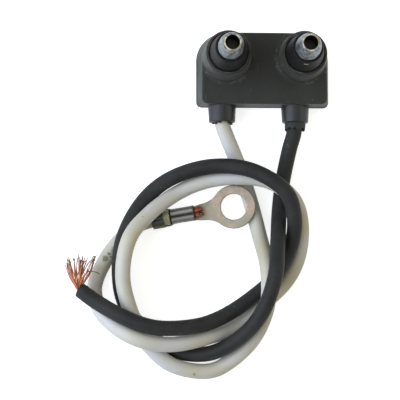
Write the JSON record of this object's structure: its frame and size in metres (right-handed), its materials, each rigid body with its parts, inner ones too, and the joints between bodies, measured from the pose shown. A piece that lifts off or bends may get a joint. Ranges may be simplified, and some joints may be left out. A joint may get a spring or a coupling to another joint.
{
  "type": "ignition electrode",
  "caption": "Potted block with two insulated prongs that end in plated socket tips, and two flexible leads, one of them ending in a ring terminal.",
  "frame": {"origin": "centre of the block's flat back face, on which the part lies", "axes": "+Z out of the back face along the prongs, +X from the white lead's prong to the black lead's prong, -Y the way the leads leave the block"},
  "size_m": [0.0669, 0.0879, 0.031],
  "materials": {
    "block_resin": "moulded black thermoset, matt and dusty",
    "cover_resin": "moulded black thermoset, matt",
    "potting_resin": "cast dark resin",
    "stem_insulator": "black insulating sleeve, satin",
    "spigot_rubber": "moulded black rubber, slightly glossy",
    "sleeve_fibre": "black sleeving with a torn end",
    "tip_brass": "nickel-plated brass, dulled, with brass showing at the rim",
    "pin_brass": "machined brass",
    "copper": "bare fine-strand copper",
    "white_silicone": "white silicone insulation, slightly soiled",
    "black_silicone": "black silicone insulation, dusty",
    "tinned_copper": "tinned sheet copper, tarnished"
  },
  "bodies": {
    "root": {"back_cover": "cover_resin", "housing": "block_resin", "potting": "potting_resin", "stem_left": "stem_insulator", "stem_right": "stem_insulator", "tip_left": "tip_brass", "tip_right": "tip_brass", "pin_left": "pin_brass", "pin_right": "pin_brass", "grommet_left": "spigot_rubber", "grommet_right": "spigot_rubber", "sleeve_left": "sleeve_fibre", "sleeve_right": "sleeve_fibre", "conductor_left": "copper", "conductor_right": "copper", "lead_white": "white_silicone", "lead_black": "black_silicone", "ring_terminal": "tinned_copper", "ring_strands": "copper", "loose_strands": "copper"}
  },
  "joints": []
}
